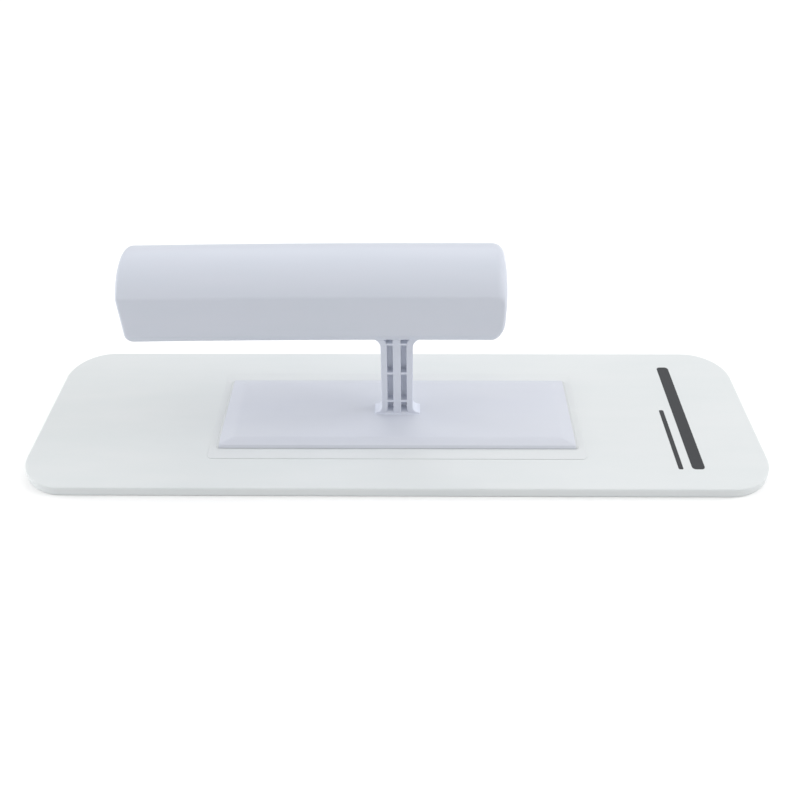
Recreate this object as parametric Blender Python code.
"""Plastic finishing trowel: a long flat blade under a domed grip on one ribbed shank.

Units are metres and +Z is up. The origin is the centre of the blade's working face.
X runs along the blade towards the grip's nose, and Y runs across the blade.
"""

import math

import bmesh
import bpy

# Clearance between pieces that are bonded or pressed together
GAP = 0.0003

# Blade
BLADE_LENGTH = 0.280
BLADE_WIDTH = 0.082
BLADE_THICKNESS = 0.0039
BLADE_CORNER_RADIUS = 0.017
BLADE_TOP_EDGE_RADIUS = 0.0006
BLADE_BOTTOM_EDGE_RADIUS = 0.0004

# Where the handle's centre line stands on the blade
HANDLE_CENTRE_X = 0.0005
HANDLE_CENTRE_Y = 0.0006

# Thin sheet between the blade and the foot plate
PAD_LENGTH = 0.144
PAD_WIDTH = 0.0520
PAD_THICKNESS = 0.00025
PAD_CORNER_RADIUS = 0.002

# Foot plate: a low slab with a steep rim and wide shallow bevels above it
FOOT_LENGTH = 0.1388
FOOT_WIDTH = 0.0414
FOOT_EDGE_HEIGHT = 0.0001
FOOT_RIM_HEIGHT = 0.0004
FOOT_RIM_INSET = 0.0009
FOOT_BEVEL_HEIGHT = 0.0012
FOOT_END_BEVEL_WIDTH = 0.0053
FOOT_SIDE_BEVEL_WIDTH = 0.0033
FOOT_CORNER_RADIUS = 0.001
FOOT_RIM_CORNER_RADIUS = 0.0009
FOOT_TOP_CORNER_RADIUS = 0.0008

# Studs under the foot plate that pass through the pad into the blade
STUD_RADIUS = 0.002
STUD_PITCH_X = 0.110
STUD_PITCH_Y = 0.024
BLIND_FLOOR_Z = 0.002

# Shank: a back wall with two flanges, a centre rib and thin cross ribs on its front
SHANK_FOOT_HALF_WIDTH = 0.0062
SHANK_HEAD_HALF_WIDTH = 0.0060
SHANK_DEPTH = 0.0057
SHANK_EDGE_RADIUS = 0.0004
SHANK_FOOT_FLARE = 0.0028
SHANK_FOOT_EDGE = 0.0003
SHANK_HEAD_FLARE = 0.0042
SHANK_HEAD_COLLAR = 0.0020
FLANGE_THICKNESS = 0.0024
POCKET_SHARE_OF_FLARE = 0.5
CENTRE_RIB_HALF_WIDTH = 0.0015
POCKET_DEPTH = 0.0030
CROSS_RIB_THICKNESS = 0.0010
CROSS_RIB_HEIGHTS = (0.0129, 0.0266, 0.0403)
POCKET_END_WALL = 0.0011

# Tenons at the shank's ends
TENON_HALF_WIDTH = 0.0050
FOOT_TENON_DEPTH = 0.0040
HEAD_TENON_DEPTH = 0.0050
HEAD_TENON_LENGTH = 0.0100
TENON_EDGE_RADIUS = 0.0005

# Grip: a hollow shell with flat sides and a domed top and bottom
GRIP_REAR_X = -0.0952
GRIP_NOSE_X = 0.0382
GRIP_MIDDLE_Z = 0.06175
GRIP_HALF_WIDTH = 0.0166
GRIP_HALF_HEIGHT = 0.01655
GRIP_ARC_RADIUS = 0.0202
GRIP_BLEND_RADIUS = 0.0022
GRIP_WALL = 0.0028
GRIP_REAR_EDGE_RADIUS = 0.0013
GRIP_NOSE_LENGTH = 0.0042
GRIP_NOSE_TOP_DROP = 0.0041
GRIP_NOSE_TOP_BLEND = 0.0080
GRIP_NOSE_BOTTOM_DROP = 0.0074
GRIP_NOSE_BOTTOM_BLEND = 0.0040
GRIP_NOSE_SIDE_LENGTH = 0.0014
GRIP_NOSE_SIDE_DROP = 0.0024
GRIP_ARCH_CREST_X = 0.010
GRIP_ARCH_PER_METRE = 0.09
SMALLEST_BLEND = 0.0005

# Key through the head tenon, inside the grip
KEY_LENGTH = 0.026
KEY_WIDTH = 0.0020
KEY_HEIGHT = 0.0034
KEY_TAPER = 0.0005
KEY_EDGE_RADIUS = 0.0003

# Plug in the grip's open rear end
PLUG_FACE_THICKNESS = 0.0025
PLUG_SKIRT_LENGTH = 0.012
PLUG_SKIRT_WALL = 0.0018
PLUG_EDGE_RADIUS = 0.0005

# Mesh fineness
CORNER_STEPS = 8
SHANK_CORNER_STEPS = 3
STUD_STEPS = 24
ARC_STEPS = 14
BLEND_STEPS = 3
ROUNDING_STEPS = 5
SMALL_ROUNDING_STEPS = 2
FLARE_STEPS = 8
SHANK_LEVEL_STEP = 0.0012
GRIP_STATION_STEP = 0.020
SHARP_ANGLE = math.radians(28)

WHITE_PLASTIC = (0.80, 0.81, 0.81)
SHEET_PLASTIC = (0.84, 0.85, 0.86)
HANDLE_PLASTIC = (0.56, 0.58, 0.66)
DARK_HANDLE_PLASTIC = (0.48, 0.50, 0.58)
KEY_PLASTIC = (0.30, 0.31, 0.34)

# Heights that follow from the stack of pieces
PAD_BOTTOM_Z = BLADE_THICKNESS + GAP
PAD_TOP_Z = PAD_BOTTOM_Z + PAD_THICKNESS
FOOT_BOTTOM_Z = PAD_TOP_Z + GAP
FOOT_EDGE_Z = FOOT_BOTTOM_Z + FOOT_EDGE_HEIGHT
FOOT_RIM_Z = FOOT_EDGE_Z + FOOT_RIM_HEIGHT
FOOT_TOP_Z = FOOT_RIM_Z + FOOT_BEVEL_HEIGHT
SHANK_BOTTOM_Z = FOOT_TOP_Z + GAP
GRIP_BOTTOM_Z = GRIP_MIDDLE_Z - GRIP_HALF_HEIGHT
SHANK_TOP_Z = GRIP_BOTTOM_Z - GAP
SHANK_FOOT_EDGE_Z = SHANK_BOTTOM_Z + SHANK_FOOT_EDGE
SHANK_HEAD_FLARE_Z = SHANK_TOP_Z - SHANK_HEAD_COLLAR - SHANK_HEAD_FLARE
TENON_BOTTOM_Z = BLIND_FLOOR_Z + GAP
TENON_TOP_Z = SHANK_TOP_Z + HEAD_TENON_LENGTH
KEY_BOTTOM_Z = GRIP_BOTTOM_Z + GRIP_WALL + GAP


def remove_everything():
    for obj in list(bpy.data.objects):
        bpy.data.objects.remove(obj, do_unlink=True)


def plastic(name, colour, roughness):
    material = bpy.data.materials.new(name)
    material.use_nodes = True
    shader = material.node_tree.nodes["Principled BSDF"]
    shader.inputs["Base Color"].default_value = (*colour, 1.0)
    shader.inputs["Roughness"].default_value = roughness
    shader.inputs["Metallic"].default_value = 0.0
    return material


def rounded_rectangle(half_x, half_y, radius, steps=CORNER_STEPS):
    """Corner arcs joined by straight sides, counter-clockwise from the +X side."""
    points = []
    for corner, (sign_x, sign_y) in enumerate(((1, 1), (-1, 1), (-1, -1), (1, -1))):
        centre_x = sign_x * (half_x - radius)
        centre_y = sign_y * (half_y - radius)
        for step in range(steps + 1):
            angle = math.pi / 2 * (corner + step / steps)
            points.append((centre_x + radius * math.cos(angle), centre_y + radius * math.sin(angle)))
    return points


def level(outline, z):
    return [(x, y, z) for x, y in outline]


def quarter_turn(steps=ROUNDING_STEPS):
    """Pairs (along, inwards) from 0 to 1 on a quarter circle."""
    turn = []
    for step in range(steps + 1):
        angle = math.pi / 2 * step / steps
        turn.append((math.sin(angle), 1 - math.cos(angle)))
    return turn


def add_loft(mesh, loops):
    """Skin loops of equal length and close both ends."""
    rings = [[mesh.verts.new(point) for point in loop] for loop in loops]
    count = len(rings[0])
    for lower, upper in zip(rings, rings[1:]):
        for index in range(count):
            following = (index + 1) % count
            mesh.faces.new((lower[index], lower[following], upper[following], upper[index]))
    mesh.faces.new(rings[0])
    mesh.faces.new(rings[-1])


def place(name, mesh, material, parent=None):
    """Turn a bmesh into a named, smooth-shaded object under its parent."""
    bmesh.ops.recalc_face_normals(mesh, faces=mesh.faces)
    data = bpy.data.meshes.new(name)
    mesh.to_mesh(data)
    mesh.free()
    data.shade_smooth()
    data.set_sharp_from_angle(angle=SHARP_ANGLE)
    if material is not None:
        data.materials.append(material)
    obj = bpy.data.objects.new(name, data)
    obj.parent = parent
    bpy.context.scene.collection.objects.link(obj)
    return obj


def lofted(name, loops, material, parent=None):
    mesh = bmesh.new()
    add_loft(mesh, loops)
    return place(name, mesh, material, parent)


def former(name, groups, parent):
    """A hidden shape, made of one or more lofts, that cuts or extends other pieces."""
    mesh = bmesh.new()
    for loops in groups:
        add_loft(mesh, loops)
    obj = place(name, mesh, None, parent)
    obj.hide_render = True
    obj.display_type = "WIRE"
    return obj


def combine(obj, other, operation):
    boolean = obj.modifiers.new(other.name, "BOOLEAN")
    boolean.operation = operation
    boolean.solver = "EXACT"
    boolean.object = other


def circle(centre_x, centre_y, radius, steps=STUD_STEPS):
    turns = [2 * math.pi * step / steps for step in range(steps)]
    return [(centre_x + radius * math.cos(turn), centre_y + radius * math.sin(turn)) for turn in turns]


def stud_groups(radius, low, high):
    """Four upright round bars, each as two loops."""
    groups = []
    for sign_x in (-1, 1):
        for sign_y in (-1, 1):
            outline = circle(sign_x * STUD_PITCH_X / 2, sign_y * STUD_PITCH_Y / 2, radius)
            groups.append([level(outline, low), level(outline, high)])
    return groups


def tenon_outline(depth, clearance=0.0):
    half_x = TENON_HALF_WIDTH + clearance
    half_y = depth / 2 + clearance
    return rounded_rectangle(half_x, half_y, TENON_EDGE_RADIUS + clearance, SHANK_CORNER_STEPS)


def build_blade(material, sockets):
    def outline(inset):
        half_x = BLADE_LENGTH / 2 - inset
        half_y = BLADE_WIDTH / 2 - inset
        return rounded_rectangle(half_x, half_y, BLADE_CORNER_RADIUS - inset)

    loops = []
    for along, inwards in reversed(quarter_turn(SMALL_ROUNDING_STEPS)):
        inset = BLADE_BOTTOM_EDGE_RADIUS * inwards
        loops.append(level(outline(inset), BLADE_BOTTOM_EDGE_RADIUS * (1 - along)))
    for along, inwards in quarter_turn():
        inset = BLADE_TOP_EDGE_RADIUS * inwards
        z = BLADE_THICKNESS - BLADE_TOP_EDGE_RADIUS * (1 - along)
        loops.append(level(outline(inset), z))
    blade = lofted("blade", loops, material)
    combine(blade, sockets, "DIFFERENCE")
    return blade


def build_pad(material, parent, sockets):
    outline = rounded_rectangle(PAD_LENGTH / 2, PAD_WIDTH / 2, PAD_CORNER_RADIUS)
    pad = lofted("bonding_pad", [level(outline, PAD_BOTTOM_Z), level(outline, PAD_TOP_Z)], material, parent)
    combine(pad, sockets, "DIFFERENCE")
    return pad


def build_foot_plate(material, parent, slot):
    base_x, base_y = FOOT_LENGTH / 2, FOOT_WIDTH / 2
    rim_x, rim_y = base_x - FOOT_RIM_INSET, base_y - FOOT_RIM_INSET
    top_x, top_y = rim_x - FOOT_END_BEVEL_WIDTH, rim_y - FOOT_SIDE_BEVEL_WIDTH
    base = rounded_rectangle(base_x, base_y, FOOT_CORNER_RADIUS)
    rim = rounded_rectangle(rim_x, rim_y, FOOT_RIM_CORNER_RADIUS)
    top = rounded_rectangle(top_x, top_y, FOOT_TOP_CORNER_RADIUS)
    loops = [level(base, FOOT_BOTTOM_Z), level(base, FOOT_EDGE_Z)]
    loops += [level(rim, FOOT_RIM_Z), level(top, FOOT_TOP_Z)]
    plate = lofted("foot_plate", loops, material, parent)
    stud_reach = (BLIND_FLOOR_Z + GAP, FOOT_RIM_Z)
    studs = former("foot_plate_studs", stud_groups(STUD_RADIUS, *stud_reach), parent)
    combine(plate, studs, "UNION")
    combine(plate, slot, "DIFFERENCE")
    return plate


def flare(part):
    """Rise of a quarter circle, 0 to 1, for the part of the way into the flare."""
    inside = min(max(part, 0.0), 1.0)
    return 1 - math.sqrt(1 - inside ** 2)


def shank_half_width(z, share_of_flare=1.0):
    """Drafted side with a round flare at the foot and a larger one at the head."""
    rise = (z - SHANK_BOTTOM_Z) / (SHANK_TOP_Z - SHANK_BOTTOM_Z)
    straight = SHANK_FOOT_HALF_WIDTH + rise * (SHANK_HEAD_HALF_WIDTH - SHANK_FOOT_HALF_WIDTH)
    into_foot = 1 - (z - SHANK_FOOT_EDGE_Z) / SHANK_FOOT_FLARE
    into_head = (z - SHANK_HEAD_FLARE_Z) / SHANK_HEAD_FLARE
    flared = SHANK_FOOT_FLARE * flare(into_foot) + SHANK_HEAD_FLARE * flare(into_head)
    return straight + share_of_flare * flared


def heights(low, high, longest_step):
    count = max(1, math.ceil((high - low) / longest_step))
    return [low + (high - low) * index / count for index in range(count + 1)]


def shank_levels():
    """Heights of the shank's loops: close together in the flares."""
    foot_end = SHANK_FOOT_EDGE_Z + SHANK_FOOT_FLARE
    lower = [foot_end - SHANK_FOOT_FLARE * along for along, _ in reversed(quarter_turn(FLARE_STEPS))]
    upper = [SHANK_HEAD_FLARE_Z + SHANK_HEAD_FLARE * along for along, _ in quarter_turn(FLARE_STEPS)]
    return [SHANK_BOTTOM_Z] + lower + upper + [SHANK_TOP_Z]


def pocket_loop(side, z):
    """Level section of one pocket, from the back wall to well outside the shank's front."""
    inner_x = side * CENTRE_RIB_HALF_WIDTH
    outer_x = side * (shank_half_width(z, POCKET_SHARE_OF_FLARE) - FLANGE_THICKNESS)
    floor_y = POCKET_DEPTH - SHANK_DEPTH / 2
    outside_y = -SHANK_DEPTH
    return [(inner_x, floor_y, z), (outer_x, floor_y, z), (outer_x, outside_y, z), (inner_x, outside_y, z)]


def pocket_groups():
    """One tapering pocket for each side and each cell between the cross ribs."""
    half_rib = CROSS_RIB_THICKNESS / 2
    lows = [SHANK_BOTTOM_Z + POCKET_END_WALL] + [z + half_rib for z in CROSS_RIB_HEIGHTS]
    highs = [z - half_rib for z in CROSS_RIB_HEIGHTS] + [SHANK_TOP_Z - POCKET_END_WALL]
    groups = []
    for low, high in zip(lows, highs):
        levels = heights(low, high, SHANK_LEVEL_STEP)
        for side in (-1, 1):
            groups.append([pocket_loop(side, z) for z in levels])
    return groups


def build_shank(material, parent):
    foot_tenon = tenon_outline(FOOT_TENON_DEPTH)
    head_tenon = tenon_outline(HEAD_TENON_DEPTH)
    loops = [level(foot_tenon, TENON_BOTTOM_Z), level(foot_tenon, SHANK_BOTTOM_Z)]
    for z in shank_levels():
        half_width = shank_half_width(z)
        outline = rounded_rectangle(half_width, SHANK_DEPTH / 2, SHANK_EDGE_RADIUS, SHANK_CORNER_STEPS)
        loops.append(level(outline, z))
    loops += [level(head_tenon, SHANK_TOP_Z), level(head_tenon, TENON_TOP_Z)]
    shank = lofted("shank", loops, material, parent)
    combine(shank, former("shank_pockets", pocket_groups(), parent), "DIFFERENCE")
    window = former("key_window", [key_loops(GAP, TENON_HALF_WIDTH)], parent)
    combine(shank, window, "DIFFERENCE")
    return shank


def arch(x):
    """Height of the grip's gentle arch, nought at its crest."""
    return -GRIP_ARCH_PER_METRE * (x - GRIP_ARCH_CREST_X) ** 2


def grip_half_section(offset, drop, side_drop, extra_blend):
    """Upper half of the grip's section: flat side, blended corner, dome, corner, flat side."""
    half_width = GRIP_HALF_WIDTH - offset - side_drop
    arc = GRIP_ARC_RADIUS - offset
    blend = max(GRIP_BLEND_RADIUS - offset, SMALLEST_BLEND) + extra_blend
    arc_centre = GRIP_HALF_HEIGHT - offset - drop - arc
    blend_y = half_width - blend
    blend_z = arc_centre + math.sqrt((arc - blend) ** 2 - blend_y ** 2)
    meeting = math.atan2(blend_z - arc_centre, blend_y)
    section = []
    for step in range(BLEND_STEPS):
        angle = meeting * step / BLEND_STEPS
        section.append((blend_y + blend * math.cos(angle), blend_z + blend * math.sin(angle)))
    for step in range(ARC_STEPS + 1):
        angle = meeting + (math.pi - 2 * meeting) * step / ARC_STEPS
        section.append((arc * math.cos(angle), arc_centre + arc * math.sin(angle)))
    return section + [(-y, z) for y, z in section[:BLEND_STEPS][::-1]]


def grip_loop(x, offset, into_nose=0.0, into_side=0.0):
    """Section of the grip at x; the nose lowers the domes, widens the blends and narrows the sides."""
    side_drop = GRIP_NOSE_SIDE_DROP * into_side
    top = (GRIP_NOSE_TOP_DROP * into_nose, side_drop, GRIP_NOSE_TOP_BLEND * into_nose)
    bottom = (GRIP_NOSE_BOTTOM_DROP * into_nose, side_drop, GRIP_NOSE_BOTTOM_BLEND * into_nose)
    upper = grip_half_section(offset, *top)
    lower = [(-y, -z) for y, z in grip_half_section(offset, *bottom)]
    middle_z = GRIP_MIDDLE_Z + arch(x)
    return [(x, y, middle_z + z) for y, z in upper + lower]


def nose_distances():
    """Distances back from the nose's end, closer together towards it."""
    long_turn = [GRIP_NOSE_LENGTH * (1 - along) for along, _ in quarter_turn()]
    short_turn = [GRIP_NOSE_SIDE_LENGTH * (1 - along) for along, _ in quarter_turn()]
    return [distance for distance in long_turn if distance > GRIP_NOSE_SIDE_LENGTH] + short_turn


def grip_surface(offset, rear_x, nose_x, rear_radius):
    """Loops from the rear end to the nose of the grip's skin or of its cavity."""
    nose_scale = 1 - offset / GRIP_NOSE_LENGTH
    nose_start = nose_x - GRIP_NOSE_LENGTH * nose_scale
    loops = []
    if rear_radius > 0:
        for along, inwards in reversed(quarter_turn(SMALL_ROUNDING_STEPS)):
            loops.append(grip_loop(rear_x + rear_radius * (1 - along), offset + rear_radius * inwards))
    else:
        loops.append(grip_loop(rear_x, offset))
    straight = heights(rear_x + rear_radius, nose_start, GRIP_STATION_STEP)
    for x in straight[1:-1]:
        loops.append(grip_loop(x, offset))
    for distance in nose_distances():
        into_nose = nose_scale * flare(1 - distance / GRIP_NOSE_LENGTH)
        into_side = nose_scale * flare(1 - distance / GRIP_NOSE_SIDE_LENGTH)
        loops.append(grip_loop(nose_x - nose_scale * distance, offset, into_nose, into_side))
    return loops


def build_grip_shell(material, parent):
    skin = grip_surface(0.0, GRIP_REAR_X, GRIP_NOSE_X, GRIP_REAR_EDGE_RADIUS)
    cavity = grip_surface(GRIP_WALL, GRIP_REAR_X, GRIP_NOSE_X - GRIP_WALL, 0.0)
    shell = lofted("grip_shell", cavity[::-1] + skin, material, parent)
    slot = tenon_outline(HEAD_TENON_DEPTH, GAP)
    slot_loops = [level(slot, SHANK_TOP_Z), level(slot, KEY_BOTTOM_Z + GRIP_WALL)]
    combine(shell, former("grip_slot", [slot_loops], parent), "DIFFERENCE")
    return shell


def key_loops(clearance, half_length):
    """Flat tapered bar along X: thick at the rear, thin at the nose."""
    loops = []
    for x in (-half_length - clearance, half_length + clearance):
        taper = KEY_TAPER * x / KEY_LENGTH
        half_y = KEY_WIDTH / 2 + clearance
        low = KEY_BOTTOM_Z - clearance
        high = KEY_BOTTOM_Z + KEY_HEIGHT + clearance - taper
        section = rounded_rectangle(half_y, (high - low) / 2, KEY_EDGE_RADIUS, SMALL_ROUNDING_STEPS)
        loops.append([(x, y, (high + low) / 2 + z) for y, z in section])
    return loops


def build_key(material, parent):
    return lofted("grip_key", key_loops(0.0, KEY_LENGTH / 2), material, parent)


def build_end_plug(material, parent):
    outer = GRIP_WALL + GAP
    inner = outer + PLUG_SKIRT_WALL
    skirt_end = GRIP_REAR_X + PLUG_SKIRT_LENGTH
    face_inside = GRIP_REAR_X + PLUG_FACE_THICKNESS
    loops = [grip_loop(face_inside, inner), grip_loop(skirt_end, inner), grip_loop(skirt_end, outer)]
    for along, inwards in quarter_turn(SMALL_ROUNDING_STEPS):
        x = GRIP_REAR_X + PLUG_EDGE_RADIUS * (1 - along)
        loops.append(grip_loop(x, outer + PLUG_EDGE_RADIUS * inwards))
    return lofted("grip_end_plug", loops, material, parent)


def build():
    remove_everything()
    handle = bpy.data.objects.new("handle_centre", None)
    handle.location = (HANDLE_CENTRE_X, HANDLE_CENTRE_Y, 0.0)
    bpy.context.scene.collection.objects.link(handle)

    white = plastic("white_plastic", WHITE_PLASTIC, 0.38)
    sheet = plastic("sheet_plastic", SHEET_PLASTIC, 0.42)
    foot_plastic = plastic("foot_plastic", HANDLE_PLASTIC, 0.40)
    shank_plastic = plastic("shank_plastic", HANDLE_PLASTIC, 0.42)
    grip_plastic = plastic("grip_plastic", HANDLE_PLASTIC, 0.36)
    plug_plastic = plastic("plug_plastic", DARK_HANDLE_PLASTIC, 0.45)
    key_plastic = plastic("key_plastic", KEY_PLASTIC, 0.55)

    slot_outline = tenon_outline(FOOT_TENON_DEPTH, GAP)
    tenon_slot = [level(slot_outline, BLIND_FLOOR_Z), level(slot_outline, SHANK_BOTTOM_Z)]
    stud_holes = stud_groups(STUD_RADIUS + GAP, BLIND_FLOOR_Z, FOOT_BOTTOM_Z)
    sockets = former("sockets", [tenon_slot] + stud_holes, handle)
    slot = former("foot_plate_slot", [tenon_slot], handle)

    build_blade(white, sockets)
    build_pad(sheet, handle, sockets)
    build_foot_plate(foot_plastic, handle, slot)
    build_shank(shank_plastic, handle)
    build_grip_shell(grip_plastic, handle)
    build_key(key_plastic, handle)
    build_end_plug(plug_plastic, handle)


build()
